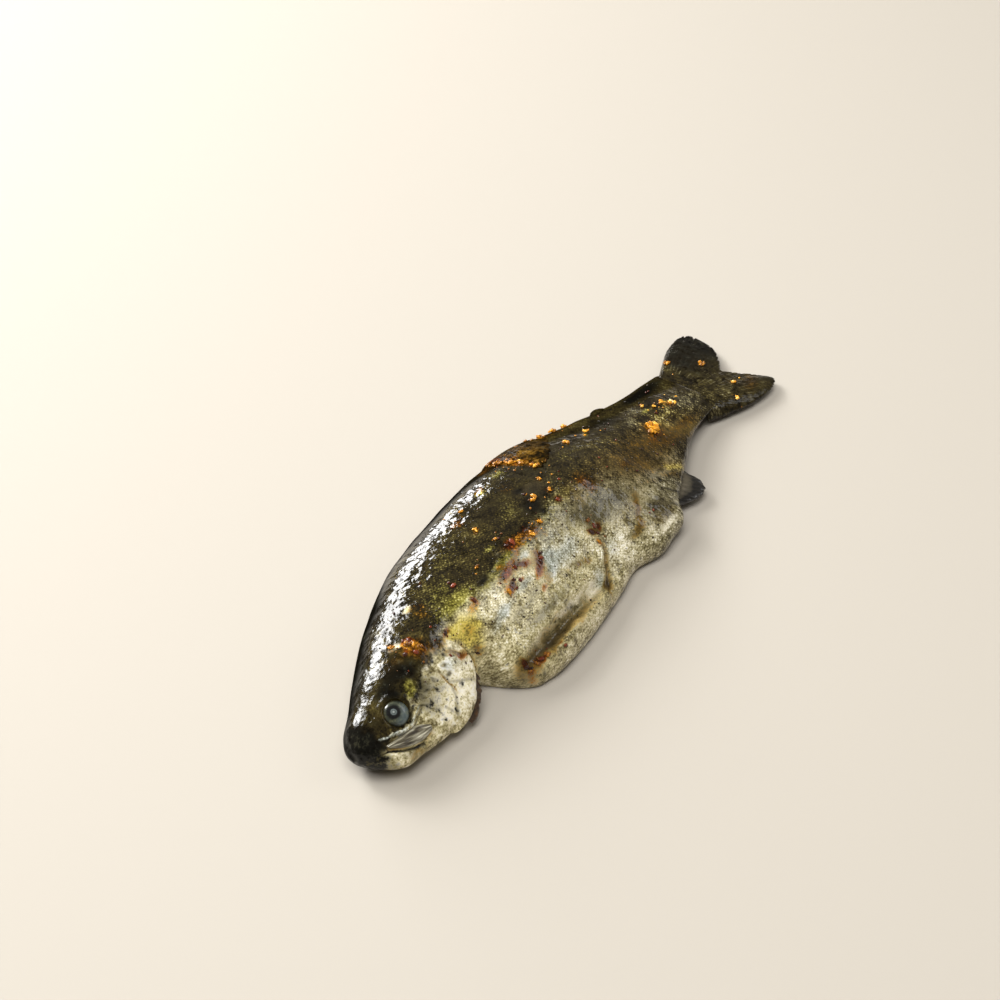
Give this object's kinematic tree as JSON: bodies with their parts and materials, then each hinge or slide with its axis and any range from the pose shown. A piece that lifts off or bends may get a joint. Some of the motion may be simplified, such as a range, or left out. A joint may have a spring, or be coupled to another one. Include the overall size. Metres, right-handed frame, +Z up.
{
  "type": "whole raw fish",
  "caption": "Whole raw trout, gutted, oiled and strewn with grated garlic and spice, lying on its side with its head, gill cover, fins and tail.",
  "frame": {"origin": "bottom centre of the bounding box, on the table that the fish lies on", "axes": "+X from the snout to the tail, +Y to the back, +Z up, out of the left flank"},
  "size_m": [0.2996, 0.081, 0.0367],
  "materials": {
    "trout_skin": "wet, oiled fish skin, olive back and silver-cream belly"
  },
  "bodies": {
    "root": {"trout": "trout_skin"}
  },
  "joints": []
}
